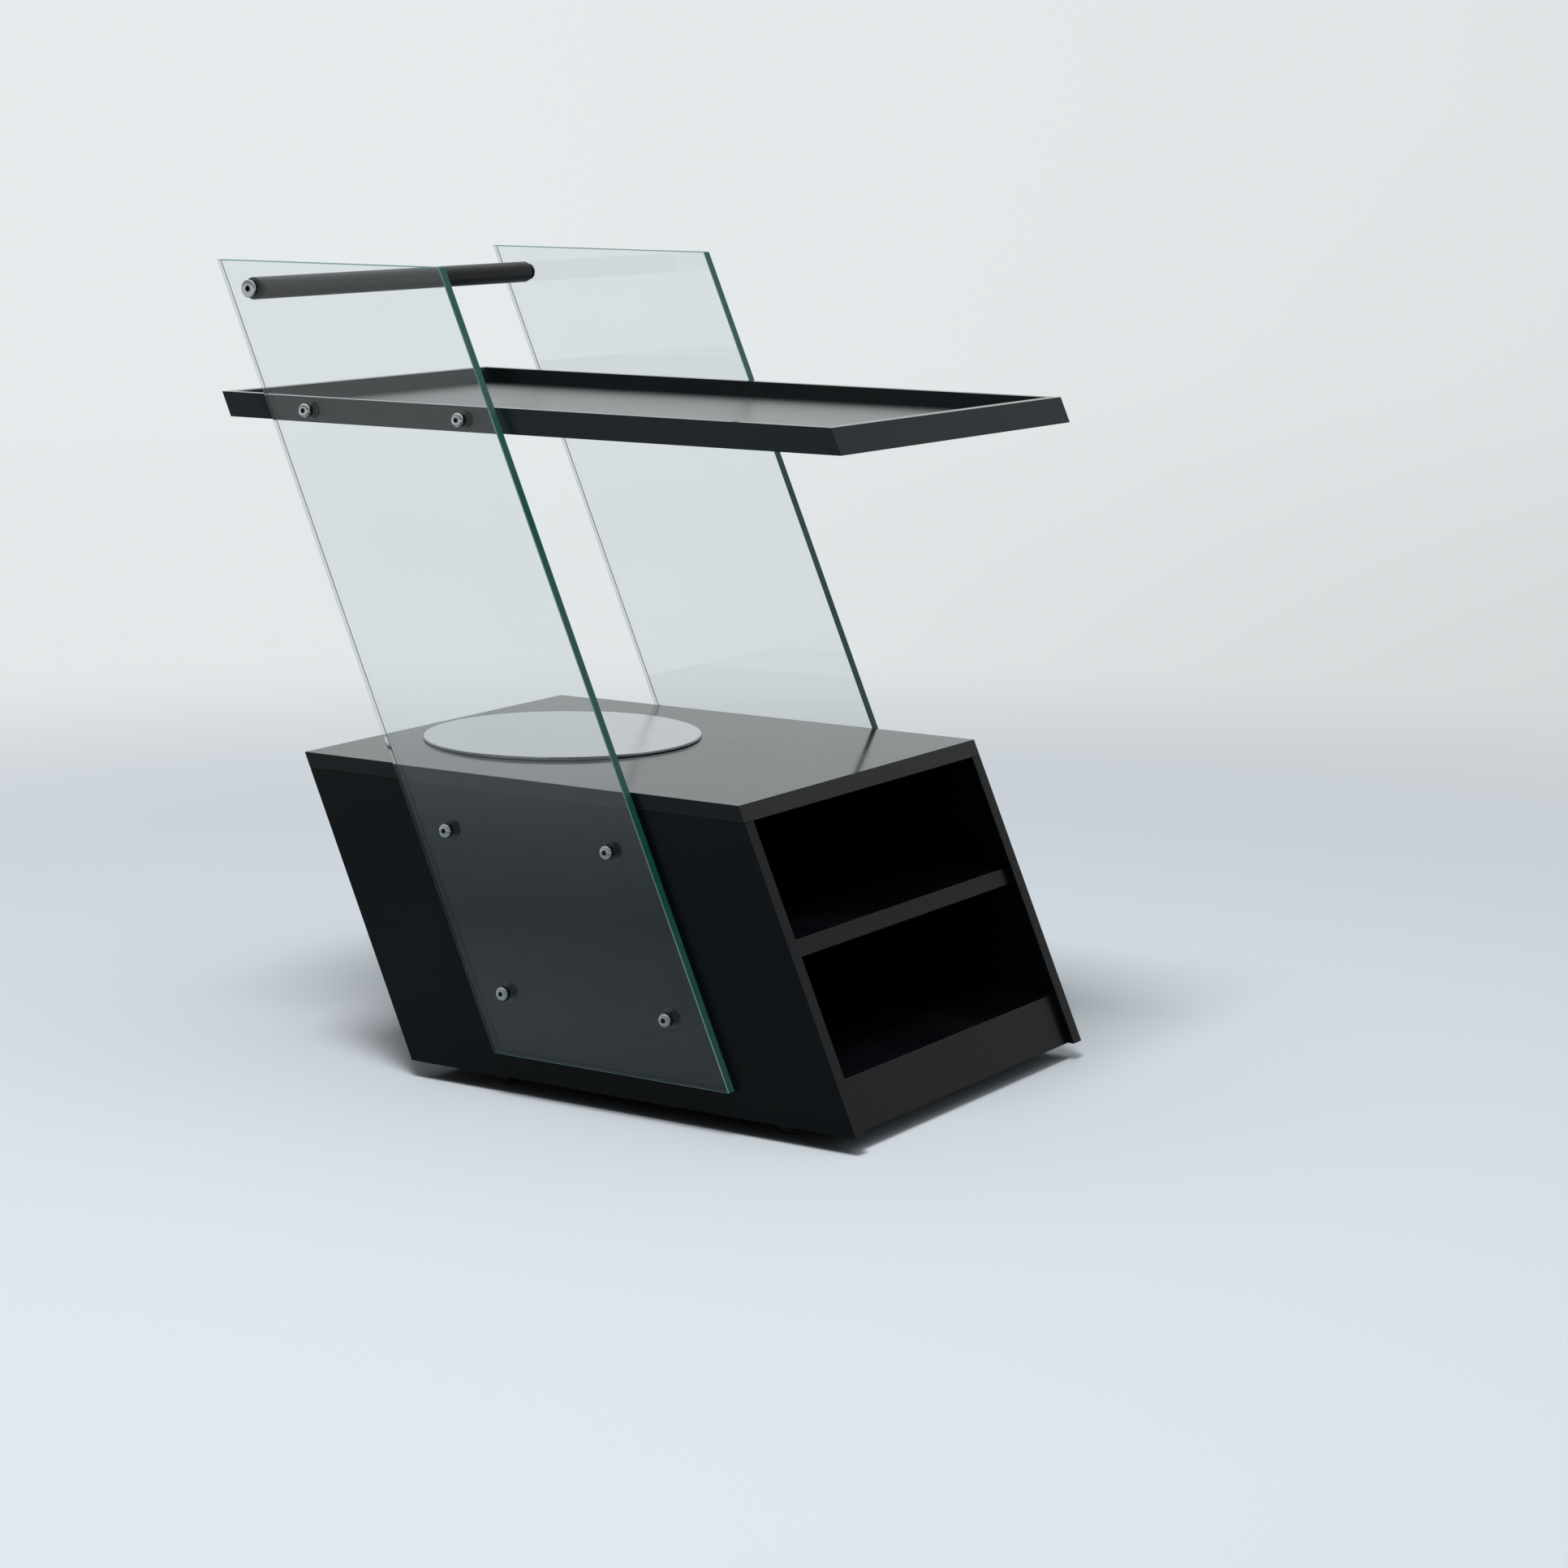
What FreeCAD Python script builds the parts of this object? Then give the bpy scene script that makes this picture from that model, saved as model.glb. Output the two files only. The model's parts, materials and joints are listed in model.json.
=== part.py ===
# Hostess trolley: a leaning two-compartment cabinet on hidden casters, carried up by two
# leaning glass panels to a shallow tray and a push bar.  Millimetres, +Z up, +X to the open
# front of the cabinet, +Y to the left of someone at the push bar.  The origin lies on the
# floor, under the middle of the trolley's overall length and width.
#
# Everything leans to the rear by the same slope.  A place along the trolley is given as its
# distance from the cabinet's rear edge before leaning, and its height above the cabinet's
# bottom edge then carries it back.

import FreeCAD
import Part
import Sketcher

import os

DIMENSIONS = [
    # the lean and the cabinet
    ("lean_slope", 0.4375, "shift to the rear for each unit of height"),
    ("floor_gap", 20, "cabinet's bottom edge above the floor"),
    ("cabinet_rear", -163, "x of the cabinet's bottom rear edge"),
    ("cabinet_length", 590, "along the trolley, the same at every height"),
    ("cabinet_width", 500, "over the side panels"),
    ("cabinet_height", 340, "bottom edge to top face"),
    ("board", 18, "thickness of the cabinet boards"),
    ("back_board", 12, "thickness of the back panel"),
    ("setback", 8, "shelf, kick panel and back behind the side panels' edges"),
    ("kick_height", 54, "height of the kick panel and the rear apron"),
    ("shelf_base", 179, "underside of the shelf above the bottom edge"),
    ("edge_break", 0.8, "rounding of the lacquered edges"),
    # dowels
    ("dowel_radius", 4, "beech dowel"),
    ("dowel_in_side", 12, "dowel length inside a side panel or the top"),
    ("dowel_in_end", 18, "dowel length inside the joining board"),
    ("dowel_play", 0.5, "empty depth past a dowel's end"),
    ("end_dowel_height", 22, "dowels of the kick panel and the rear apron"),
    ("snug", 0.02, "radial gap of glued and screwed pieces"),
    ("overcut", 1, "how far a cut runs past the material"),
    # glass panels
    ("glass_setback", 138, "glass rear edge from the cabinet's rear edge"),
    ("glass_length", 313.5, "along the trolley"),
    ("glass_base", 29.5, "glass lower edge above the cabinet's bottom edge"),
    ("glass_top", 892, "glass upper edge above the cabinet's bottom edge"),
    ("glass_board", 12, "glass thickness"),
    ("glass_arris", 0.8, "ground edge of the glass"),
    ("glass_hole_radius", 5.6, "drilled hole"),
    ("seat_thickness", 0.5, "clear washer between glass and cabinet"),
    ("seat_radius", 12, "clear washer between glass and cabinet"),
    # bolts through the glass
    ("bolt_upper", 274, "height of the cabinet's upper bolts"),
    ("bolt_lower", 99, "height of the cabinet's lower bolts"),
    ("bolt_rear_inset", 45, "cabinet bolts from the glass rear edge"),
    ("bolt_front_inset", 51, "cabinet bolts from the glass front edge"),
    ("tray_bolt_rear_inset", 54, "tray bolts from the glass rear edge"),
    ("tray_bolt_front_inset", 46, "tray bolts from the glass front edge"),
    ("tray_bolt_height", 14, "tray bolts above the tray's underside"),
    ("bolt_radius", 4, "thread"),
    ("bolt_length", 25, "under the head"),
    ("bolt_head_radius", 8, "button head"),
    ("bolt_head_height", 4.4, "button head"),
    ("bolt_head_crown", 3, "rounding of the button head"),
    ("socket_width", 5, "hexagon socket across flats"),
    ("socket_depth", 2.8, "hexagon socket"),
    ("bushing_radius", 5.5, "sleeve in the glass hole"),
    ("bushing_bore", 4.2, "clearance round the bolt"),
    ("flange_radius", 9, "bushing flange under the head"),
    ("flange_thickness", 1, "bushing flange under the head"),
    ("insert_radius", 6, "brass threaded insert"),
    ("insert_length", 10, "brass threaded insert"),
    ("insert_hole_cabinet", 14, "depth of the hole in a side panel"),
    ("insert_hole_tray", 11, "depth of the hole in a tray wall"),
    # tray
    ("tray_base", 715, "tray underside above the cabinet's bottom edge"),
    ("tray_height", 28, "over the walls"),
    ("tray_length", 814, "over the walls, the same at every height"),
    ("tray_width", 490, "over the walls"),
    ("tray_wall", 12, "wall thickness"),
    ("tray_floor_board", 10, "floor thickness"),
    ("tray_edge_break", 0.5, "rounding of the tray's edges"),
    ("spacer_radius", 9, "spacer between tray and glass"),
    # push bar
    ("bar_height", 861, "axis above the cabinet's bottom edge"),
    ("bar_inset", 34, "axis from the glass rear edge"),
    ("bar_radius", 12.5, "push bar"),
    ("bar_wall", 2.5, "push bar tube"),
    ("bar_washer_thickness", 1, "washer between bar and glass"),
    ("plug_length", 25, "threaded plug in the bar's end"),
    ("bar_screw_length", 30, "under the head"),
    ("bar_screw_head_radius", 10, "wide low head"),
    ("bar_screw_head_height", 2.5, "wide low head"),
    ("bar_socket_width", 6, "hexagon socket across flats"),
    ("bar_socket_depth", 3.5, "hexagon socket"),
    # serving disc on the cabinet top
    ("disc_centre", 183, "from the top's rear edge"),
    ("disc_radius", 160, "polished disc"),
    ("disc_thickness", 3, "polished disc"),
    ("disc_edge", 0.8, "rounding of the disc's upper edge"),
    ("disc_ring_radius", 150, "rubber ring under the disc"),
    ("disc_ring_width", 10, "rubber ring under the disc"),
    ("disc_ring_thickness", 1, "rubber ring under the disc"),
    # casters
    ("caster_end_inset", 107, "swivel axis from the cabinet's bottom end edges"),
    ("caster_side_inset", 58, "swivel axis from the cabinet's sides"),
    ("caster_trail", 16, "wheel axle from the swivel axis"),
    ("wheel_radius", 19, "over the tyre"),
    ("tyre_width", 18, "over the tyre"),
    ("tyre_inner", 13, "tyre on its hub"),
    ("tyre_round", 3, "rounding of the tread's edges"),
    ("hub_boss_radius", 6, "hub beside the axle"),
    ("hub_boss_half", 9.3, "half the hub's width at the axle"),
    ("hub_web_half", 4, "half the web's thickness"),
    ("hub_rim_inner", 10.5, "inside of the hub's rim"),
    ("hub_rim_half", 8.5, "half the rim's width"),
    ("running_gap", 0.06, "radial gap of turning pieces"),
    ("axle_radius", 3, "axle bolt"),
    ("axle_head_radius", 5, "axle bolt head and nut"),
    ("axle_head_height", 2.5, "axle bolt head and nut"),
    ("fork_width", 22.4, "over the fork legs"),
    ("fork_inside", 19.2, "between the fork legs"),
    ("fork_top", 50, "upper face of the fork above the floor"),
    ("fork_roof", 2, "thickness of the fork's roof"),
    ("fork_front", 13, "fork ahead of the swivel axis"),
    ("fork_shoulder", 44, "where the fork's front edge starts down"),
    ("fork_toe", 13, "lowest edge of the fork above the floor"),
    ("fork_boss", 8, "fork legs before and behind the axle"),
    ("fork_corner", 5, "rounding of the fork legs' lower corners"),
    ("race_radius", 11, "swivel bearing"),
    ("race_gap", 0.1, "axial play of the swivel bearing"),
    ("kingpin_radius", 4, "swivel pin"),
    ("kingpin_head_radius", 6.5, "swivel pin's head under the fork's roof"),
    ("kingpin_head_height", 3.4, "swivel pin's head under the fork's roof"),
    ("plate_width", 44, "square top plate"),
    ("plate_thickness", 2.5, "square top plate"),
    ("plate_corner", 5, "rounding of the top plate's corners"),
    ("plate_hole_radius", 2.1, "screw holes of the top plate"),
    ("screw_inset", 16, "screws from the swivel axis, both ways"),
    ("screw_radius", 1.75, "wood screw"),
    ("screw_grip", 12, "wood screw's length inside the board"),
    ("screw_head_radius", 3.6, "wood screw"),
    ("screw_head_height", 2.2, "wood screw"),
]

doc = FreeCAD.newDocument("hostess_trolley")
sheet = doc.addObject("Spreadsheet::Sheet", "dims")
for row, (alias, size, note) in enumerate(DIMENSIONS, start=1):
    sheet.set(f"A{row}", alias)
    sheet.set(f"B{row}", str(size))
    sheet.set(f"C{row}", note)
    sheet.setAlias(f"B{row}", alias)
doc.recompute()

sub_parts = []


# ---- expressions shared by the pieces ----------------------------------------------------

def value(expression):
    """The number that an expression gives now."""
    return float(sheet.evalExpression(expression))


def along(place, height):
    """x of a place along the trolley, carried back by the lean at a height."""
    return f"dims.cabinet_rear + {place} - ({height}) * dims.lean_slope"


def level(height):
    """z of a height above the cabinet's bottom edge."""
    return f"dims.floor_gap + {height}"


HALF_WIDTH = "dims.cabinet_width / 2"
HALF_INSIDE = "(dims.cabinet_width / 2 - dims.board)"
SIDE_TOP = "(dims.cabinet_height - dims.board)"
SHELF_TOP = "(dims.shelf_base + dims.board)"
BACK_FACE = "(dims.setback + dims.back_board)"
APRON_FACE = "(dims.setback + dims.board)"
FRONT_EDGE = "(dims.cabinet_length - dims.setback)"
KICK_FACE = "(dims.cabinet_length - dims.setback - dims.board)"
GLASS_FRONT = "(dims.glass_setback + dims.glass_length)"
GLASS_INSIDE = "(dims.cabinet_width / 2 + dims.seat_thickness)"
GLASS_OUTSIDE = f"({GLASS_INSIDE} + dims.glass_board)"
HEAD_SEAT = f"({GLASS_OUTSIDE} + dims.flange_thickness)"
BAR_END = f"({GLASS_INSIDE} - dims.bar_washer_thickness)"
HALF_TRAY = "(dims.tray_width / 2)"
TRAY_TOP = "(dims.tray_base + dims.tray_height)"
# the tray's rear top corner reaches as far back as the cabinet's foot reaches forward
TRAY_REAR = f"({TRAY_TOP} * dims.lean_slope - 2 * dims.cabinet_rear - dims.cabinet_length)"
BOARD_BASE = "(dims.floor_gap + dims.kick_height - dims.board)"
DOWEL_SHARES = ("0.12", "0.5", "0.88")  # of the cabinet's length
SAME_PLACE = 0.01  # mm, two places closer than this are one
LEAST_CUT = 1  # mm3, a pocket that takes less has missed


def bolt_places():
    """x and z of the four bolts that hold one glass panel to the cabinet."""
    rear = "(dims.glass_setback + dims.bolt_rear_inset)"
    front = f"({GLASS_FRONT} - dims.bolt_front_inset)"
    heights = ("dims.bolt_upper", "dims.bolt_lower")
    return [(along(place, height), level(height)) for height in heights for place in (rear, front)]


def tray_bolt_places():
    """x and z of the two bolts that hold one glass panel to the tray."""
    rear = "(dims.glass_setback + dims.tray_bolt_rear_inset)"
    front = f"({GLASS_FRONT} - dims.tray_bolt_front_inset)"
    height = "(dims.tray_base + dims.tray_bolt_height)"
    return [(along(place, height), level(height)) for place in (rear, front)]


def bar_place():
    """x and z of the push bar's axis."""
    place = "(dims.glass_setback + dims.bar_inset)"
    return along(place, "dims.bar_height"), level("dims.bar_height")


def dowel_row(height):
    """x of three dowels along a side panel, at a height."""
    return [along(f"{share} * dims.cabinet_length", height) for share in DOWEL_SHARES]


def bottom_dowel_places():
    """x and z of the dowels from a side panel into the bottom board."""
    height = "(dims.kick_height - dims.board / 2)"
    return [(x, level(height)) for x in dowel_row(height)]


def shelf_dowel_places():
    """x and z of the dowels from a side panel into the shelf."""
    height = "(dims.shelf_base + dims.board / 2)"
    return [(x, level(height)) for x in dowel_row(height)]


def end_dowel_place(face):
    """x and z of the dowel into the middle of the kick panel or the rear apron."""
    height = "dims.end_dowel_height"
    return along(f"({face} + dims.board / 2)", height), level(height)


def side_dowel_places():
    """x and z of every dowel that crosses a side panel's inner face."""
    ends = [end_dowel_place(KICK_FACE), end_dowel_place("dims.setback")]
    return bottom_dowel_places() + shelf_dowel_places() + ends


def caster_axes():
    """Name, x and y of the four swivel axes."""
    rear = "dims.cabinet_rear + dims.caster_end_inset"
    front = "dims.cabinet_rear + dims.cabinet_length - dims.caster_end_inset"
    right = f"-({HALF_WIDTH} - dims.caster_side_inset)"
    left = f"({HALF_WIDTH} - dims.caster_side_inset)"
    return [
        ("rear_right", rear, right),
        ("rear_left", rear, left),
        ("front_right", front, right),
        ("front_left", front, left),
    ]


def caster_screw_places():
    """x and y of the sixteen wood screws that hold the casters."""
    corners = [(across, ahead) for across in (-1, 1) for ahead in (-1, 1)]
    return [
        (f"{x} + {across} * dims.screw_inset", f"{y} + {ahead} * dims.screw_inset")
        for _, x, y in caster_axes()
        for across, ahead in corners
    ]


# ---- sketches and features ---------------------------------------------------------------

def new_body(label):
    body = doc.addObject("PartDesign::Body", label)
    body.Label = label
    body.AllowCompound = True
    sub_parts.append(body)
    return body


def new_sketch(body, role, offset="0"):
    """A sketch on one of the body's own origin planes, moved along the plane's normal."""
    sketch = body.newObject("Sketcher::SketchObject", body.Name + "_sketch")
    planes = [feature for feature in body.Origin.OriginFeatures if feature.Role == role]
    sketch.AttachmentSupport = [(planes[0], "")]
    sketch.MapMode = "FlatFace"
    sketch.setExpression("AttachmentOffset.Base.z", offset)
    return sketch


def side_sketch(body, y="0"):
    """A sketch seen from the trolley's right side, at a given y."""
    return new_sketch(body, "XZ_Plane", f"-({y})")


def hold_point(sketch, geometry, vertex, x, y):
    for kind, expression in (("DistanceX", x), ("DistanceY", y)):
        rule = Sketcher.Constraint(kind, -1, 1, geometry, vertex, value(expression))
        number = sketch.addConstraint(rule)
        sketch.setExpression(f"Constraints[{number}]", expression)


def draw_polygon(sketch, corners):
    points = [FreeCAD.Vector(value(x), value(y), 0) for x, y in corners]
    count = len(points)
    first = sketch.GeometryCount
    for index, point in enumerate(points):
        sketch.addGeometry(Part.LineSegment(point, points[(index + 1) % count]))
    for index in range(count):
        following = first + (index + 1) % count
        sketch.addConstraint(Sketcher.Constraint("Coincident", first + index, 2, following, 1))
    for index, (x, y) in enumerate(corners):
        hold_point(sketch, first + index, 1, x, y)


def draw_rectangle(sketch, x0, y0, x1, y1):
    draw_polygon(sketch, [(x0, y0), (x1, y0), (x1, y1), (x0, y1)])


def draw_leaning(sketch, rear, front, base, top):
    """The side view of a board: level edges, and ends that lean."""
    draw_polygon(sketch, [
        (along(rear, base), level(base)),
        (along(front, base), level(base)),
        (along(front, top), level(top)),
        (along(rear, top), level(top)),
    ])


def draw_circle(sketch, x, y, radius):
    centre = FreeCAD.Vector(value(x), value(y), 0)
    circle = Part.Circle(centre, FreeCAD.Vector(0, 0, 1), value(radius))
    geometry = sketch.addGeometry(circle)
    hold_point(sketch, geometry, 3, x, y)
    number = sketch.addConstraint(Sketcher.Constraint("Radius", geometry, value(radius)))
    sketch.setExpression(f"Constraints[{number}]", radius)


def draw_hexagon(sketch, x, y, across_flats):
    reach = f"{across_flats} / 2 / cos(30 deg)"
    corners = []
    for sixth in range(6):
        corner_x = f"{x} + {reach} * cos({60 * sixth} deg)"
        corner_y = f"{y} + {reach} * sin({60 * sixth} deg)"
        corners.append((corner_x, corner_y))
    draw_polygon(sketch, corners)


def pad(body, sketch, length, reverse=False, symmetric=False):
    feature = body.newObject("PartDesign::Pad", body.Name + "_pad")
    feature.Profile = sketch
    feature.setExpression("Length", length)
    feature.Reversed = reverse
    if symmetric:
        feature.SideType = "Symmetric"
    doc.recompute()


def cut(body, sketch, depth, reverse=False, symmetric=False):
    """A pocket, which has to take material away."""
    before = body.Shape.Volume
    feature = body.newObject("PartDesign::Pocket", body.Name + "_pocket")
    feature.Profile = sketch
    feature.setExpression("Length", depth)
    feature.Reversed = reverse
    if symmetric:
        feature.SideType = "Symmetric"
    doc.recompute()
    if body.Shape.Volume > before - LEAST_CUT:
        raise RuntimeError(f"{body.Label}: a pocket cut nothing")


def drill_side(body, places, radius, y, depth, towards_left):
    """Round holes along Y that start at y and run towards +Y, or towards -Y."""
    sketch = side_sketch(body, y)
    for x, z in places:
        draw_circle(sketch, x, z, radius)
    cut(body, sketch, depth, reverse=not towards_left)


def drill_upright(body, places, radius, z, depth, upwards):
    """Round holes along Z that start at z."""
    sketch = new_sketch(body, "XY_Plane", z)
    for x, y in places:
        draw_circle(sketch, x, y, radius)
    cut(body, sketch, depth, reverse=upwards)


def revolve(body, sketch):
    """A full turn about the sketch's horizontal axis."""
    feature = body.newObject("PartDesign::Revolution", body.Name + "_revolution")
    feature.Profile = sketch
    feature.ReferenceAxis = (sketch, ["H_Axis"])
    feature.Angle = 360
    doc.recompute()


def soften(body, kind, size, wanted):
    """Round or chamfer the edges of the body that pass a test."""
    base = body.Tip
    edges = base.Shape.Edges
    names = [f"Edge{index}" for index, edge in enumerate(edges, start=1) if wanted(edge)]
    if not names:
        raise RuntimeError(f"{body.Label}: no edges to soften")
    feature = body.newObject(f"PartDesign::{kind}", body.Name + "_edges")
    feature.Base = (base, names)
    feature.setExpression("Radius" if kind == "Fillet" else "Size", size)
    doc.recompute()


def mirror_across(body):
    """Repeat the whole body on the other side of the trolley."""
    plane = [feature for feature in body.Origin.OriginFeatures if feature.Role == "XZ_Plane"][0]
    feature = body.newObject("PartDesign::Mirrored", body.Name + "_mirrored")
    feature.TransformMode = "Whole shape"
    feature.MirrorPlane = (plane, [""])
    body.Tip = feature
    doc.recompute()


def same(first, second):
    return abs(first - second) < SAME_PLACE


def every_edge(edge):
    return True


def crosswise(edge):
    """True for a straight edge that runs across the trolley."""
    first, last = edge.Vertexes[0].Point, edge.Vertexes[-1].Point
    return same(first.x, last.x) and same(first.z, last.z)


def lean_place(point):
    """Where a point lies along the trolley once its lean is taken out."""
    return point.x + (point.z - value("dims.floor_gap")) * value("dims.lean_slope")


def edges_of_face(place):
    """A test for the crosswise edges of the leaning face at a place along the trolley."""
    face = value(f"dims.cabinet_rear + {place}")
    return lambda edge: crosswise(edge) and same(lean_place(edge.CenterOfMass), face)


def leaning_board(label, rear, front, base, top, near, far):
    """A board between two y values, with leaning ends."""
    body = new_body(label)
    sketch = side_sketch(body, far)
    draw_leaning(sketch, rear, front, base, top)
    pad(body, sketch, f"({far}) - ({near})")
    return body


# ---- cabinet -----------------------------------------------------------------------------

def side_panel(label, left):
    inner = HALF_INSIDE if left else f"-{HALF_INSIDE}"
    outer = HALF_WIDTH if left else f"-{HALF_WIDTH}"
    near, far = (inner, outer) if left else (outer, inner)
    body = leaning_board(label, "0", "dims.cabinet_length", "0", SIDE_TOP, near, far)
    soften(body, "Fillet", "dims.edge_break", every_edge)
    dowel_hole = "dims.dowel_radius + dims.snug"
    dowel_depth = "dims.dowel_in_side + dims.dowel_play"
    drill_side(body, side_dowel_places(), dowel_hole, inner, dowel_depth, towards_left=left)
    insert_hole = "dims.insert_radius + dims.snug"
    drill_side(body, bolt_places(), insert_hole, outer, "dims.insert_hole_cabinet",
               towards_left=not left)
    middle = f"({inner} + {outer}) / 2"
    uprights = [(x, middle) for x in dowel_row(SIDE_TOP)]
    drill_upright(body, uprights, dowel_hole, level(SIDE_TOP),
                  "dims.dowel_in_end + dims.dowel_play", upwards=False)


def top_panel():
    body = leaning_board("top_panel", "0", "dims.cabinet_length", SIDE_TOP,
                         "dims.cabinet_height", f"-{HALF_WIDTH}", HALF_WIDTH)
    soften(body, "Fillet", "dims.edge_break", every_edge)
    middle = f"({HALF_WIDTH} - dims.board / 2)"
    places = [(x, f"{side} * {middle}") for side in (-1, 1) for x in dowel_row(SIDE_TOP)]
    drill_upright(body, places, "dims.dowel_radius + dims.snug", level(SIDE_TOP),
                  "dims.dowel_in_side + dims.dowel_play", upwards=True)


def drill_board_ends(body, places):
    """Dowel holes in both ends of a board that spans the cabinet."""
    radius = "dims.dowel_radius + dims.snug"
    depth = "dims.dowel_in_end + dims.dowel_play"
    drill_side(body, places, radius, HALF_INSIDE, depth, towards_left=False)
    drill_side(body, places, radius, f"-{HALF_INSIDE}", depth, towards_left=True)


def inner_board(label, rear, front, base, top):
    return leaning_board(label, rear, front, base, top, f"-{HALF_INSIDE}", HALF_INSIDE)


def bottom_board():
    body = inner_board("bottom_board", APRON_FACE, KICK_FACE, "(dims.kick_height - dims.board)",
                       "dims.kick_height")
    drill_board_ends(body, bottom_dowel_places())
    drill_upright(body, caster_screw_places(), "dims.screw_radius + dims.snug", BOARD_BASE,
                  "dims.screw_grip + dims.dowel_play", upwards=True)


def middle_shelf():
    body = inner_board("middle_shelf", BACK_FACE, FRONT_EDGE, "dims.shelf_base", SHELF_TOP)
    soften(body, "Fillet", "dims.edge_break", edges_of_face(FRONT_EDGE))
    drill_board_ends(body, shelf_dowel_places())


def kick_panel():
    body = inner_board("kick_panel", KICK_FACE, FRONT_EDGE, "0", "dims.kick_height")
    soften(body, "Fillet", "dims.edge_break", edges_of_face(FRONT_EDGE))
    drill_board_ends(body, [end_dowel_place(KICK_FACE)])


def rear_apron():
    body = inner_board("rear_apron", "dims.setback", APRON_FACE, "0", "dims.kick_height")
    soften(body, "Fillet", "dims.edge_break", edges_of_face("dims.setback"))
    drill_board_ends(body, [end_dowel_place("dims.setback")])


def back_panel():
    inner_board("back_panel", "dims.setback", BACK_FACE, "dims.kick_height", SIDE_TOP)


def side_dowels():
    body = new_body("side_dowels")
    sketch = side_sketch(body, f"{HALF_INSIDE} + dims.dowel_in_side")
    for x, z in side_dowel_places():
        draw_circle(sketch, x, z, "dims.dowel_radius")
    pad(body, sketch, "dims.dowel_in_side + dims.dowel_in_end")
    mirror_across(body)


def top_dowels():
    body = new_body("top_dowels")
    sketch = new_sketch(body, "XY_Plane", f"{level(SIDE_TOP)} - dims.dowel_in_end")
    for x in dowel_row(SIDE_TOP):
        draw_circle(sketch, x, f"{HALF_WIDTH} - dims.board / 2", "dims.dowel_radius")
    pad(body, sketch, "dims.dowel_in_side + dims.dowel_in_end")
    mirror_across(body)


# ---- glass panels and what holds them ----------------------------------------------------

def glass_panel(label, left):
    near, far = (GLASS_INSIDE, GLASS_OUTSIDE) if left else (f"-{GLASS_OUTSIDE}", f"-{GLASS_INSIDE}")
    body = leaning_board(label, "dims.glass_setback", GLASS_FRONT, "dims.glass_base",
                         "dims.glass_top", near, far)
    soften(body, "Chamfer", "dims.glass_arris", every_edge)
    holes = bolt_places() + tray_bolt_places() + [bar_place()]
    drill_side(body, holes, "dims.glass_hole_radius", near, "dims.glass_board", towards_left=True)


def ring_group(label, places, y, length, outer, bore):
    """Equal rings along Y from y outwards, on both sides of the trolley."""
    body = new_body(label)
    sketch = side_sketch(body, y)
    for x, z in places:
        draw_circle(sketch, x, z, outer)
        draw_circle(sketch, x, z, bore)
    pad(body, sketch, length, reverse=True)
    return body


def panel_bolts():
    body = new_body("panel_bolts")
    places = bolt_places() + tray_bolt_places()
    heads = side_sketch(body, HEAD_SEAT)
    for x, z in places:
        draw_circle(heads, x, z, "dims.bolt_head_radius")
    pad(body, heads, "dims.bolt_head_height", reverse=True)
    crown_y = value(f"{HEAD_SEAT} + dims.bolt_head_height")
    soften(body, "Fillet", "dims.bolt_head_crown",
           lambda edge: same(edge.CenterOfMass.y, crown_y))
    shanks = side_sketch(body, HEAD_SEAT)
    for x, z in places:
        draw_circle(shanks, x, z, "dims.bolt_radius")
    pad(body, shanks, "dims.bolt_length")
    sockets = side_sketch(body, f"{HEAD_SEAT} + dims.bolt_head_height - dims.socket_depth")
    for x, z in places:
        draw_hexagon(sockets, x, z, "dims.socket_width")
    cut(body, sockets, "dims.socket_depth")
    mirror_across(body)


def glass_bushings():
    places = bolt_places() + tray_bolt_places() + [bar_place()]
    body = ring_group("glass_bushings", places, GLASS_INSIDE, "dims.glass_board",
                      "dims.bushing_radius", "dims.bushing_bore")
    flanges = side_sketch(body, GLASS_OUTSIDE)
    for x, z in places:
        draw_circle(flanges, x, z, "dims.flange_radius")
        draw_circle(flanges, x, z, "dims.bushing_bore")
    pad(body, flanges, "dims.flange_thickness", reverse=True)
    mirror_across(body)


def threaded_inserts():
    body = ring_group("threaded_inserts", bolt_places(),
                      f"{HALF_WIDTH} - dims.insert_length", "dims.insert_length",
                      "dims.insert_radius", "dims.bolt_radius + dims.snug")
    tray_rings = side_sketch(body, f"{HALF_TRAY} - dims.insert_length")
    for x, z in tray_bolt_places():
        draw_circle(tray_rings, x, z, "dims.insert_radius")
        draw_circle(tray_rings, x, z, "dims.bolt_radius + dims.snug")
    pad(body, tray_rings, "dims.insert_length", reverse=True)
    mirror_across(body)


def glass_seats():
    body = ring_group("glass_seats", bolt_places(), HALF_WIDTH, "dims.seat_thickness",
                      "dims.seat_radius", "dims.bushing_bore")
    mirror_across(body)


def tray_spacers():
    body = ring_group("tray_spacers", tray_bolt_places(), HALF_TRAY,
                      f"{GLASS_INSIDE} - {HALF_TRAY}", "dims.spacer_radius", "dims.bushing_bore")
    mirror_across(body)


# ---- tray --------------------------------------------------------------------------------

TRAY_FRONT = f"({TRAY_REAR} + dims.tray_length)"
TRAY_INSIDE_REAR = f"({TRAY_REAR} + dims.tray_wall)"
TRAY_INSIDE_FRONT = f"({TRAY_FRONT} - dims.tray_wall)"
TRAY_HALF_INSIDE = f"({HALF_TRAY} - dims.tray_wall)"


def tray_floor():
    top = "(dims.tray_base + dims.tray_floor_board)"
    leaning_board("tray_floor", TRAY_INSIDE_REAR, TRAY_INSIDE_FRONT, "dims.tray_base", top,
                  f"-{TRAY_HALF_INSIDE}", TRAY_HALF_INSIDE)


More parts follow.
